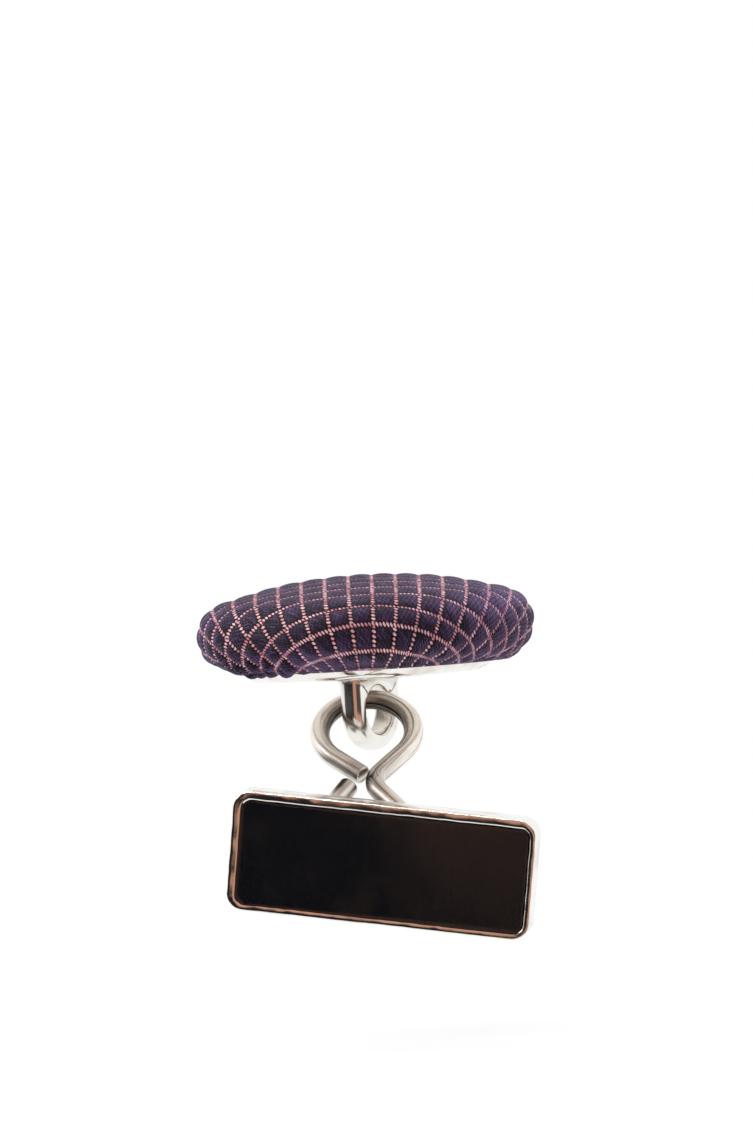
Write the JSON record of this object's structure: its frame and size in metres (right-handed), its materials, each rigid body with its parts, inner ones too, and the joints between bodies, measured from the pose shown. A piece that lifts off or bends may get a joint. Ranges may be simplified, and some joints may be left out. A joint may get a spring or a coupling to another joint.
{
  "type": "chain cufflink",
  "caption": "Chain cufflink: a domed button covered in checked silk, joined by a figure-eight wire link to a silver bar with a black enamel face.",
  "frame": {"origin": "centre of the button's back, on the plane of its seat against the cuff", "axes": "+Z along the button's axis towards its crown, -Y towards the side that the bar's face looks to, +X along the bar to the right as that face is seen"},
  "size_m": [0.02, 0.0251, 0.0213],
  "materials": {
    "silk": "dark aubergine silk twill with fine pink check lines",
    "lining": "plain cotton",
    "shell": "pressed and bare",
    "core": "pressed fibre",
    "silver": "polished silver plate",
    "enamel": "glossy black enamel"
  },
  "bodies": {
    "button": {"silk_cover": "silk", "cover_lining": "lining", "button_shell": "shell", "button_core": "core", "back_plate": "silver", "button_lug": "silver"},
    "link": {"figure_eight_link": "silver"},
    "bar": {"bar_tray": "silver", "enamel_inlay": "enamel", "bar_lug": "silver"}
  },
  "joints": [
    {"name": "link_swing", "type": "hinge", "parent": "button", "child": "link", "pos_m": [0, 0, -0.00205], "axis": [0.8387, -0.5446, 0], "range_deg": [-28, 75]},
    {"name": "bar_flap", "type": "hinge", "parent": "link", "child": "bar", "pos_m": [-0.0002, -0.00931, -0.0101], "axis": [0.9726, -0.1724, -0.1563], "range_deg": [-60, 140]}
  ]
}
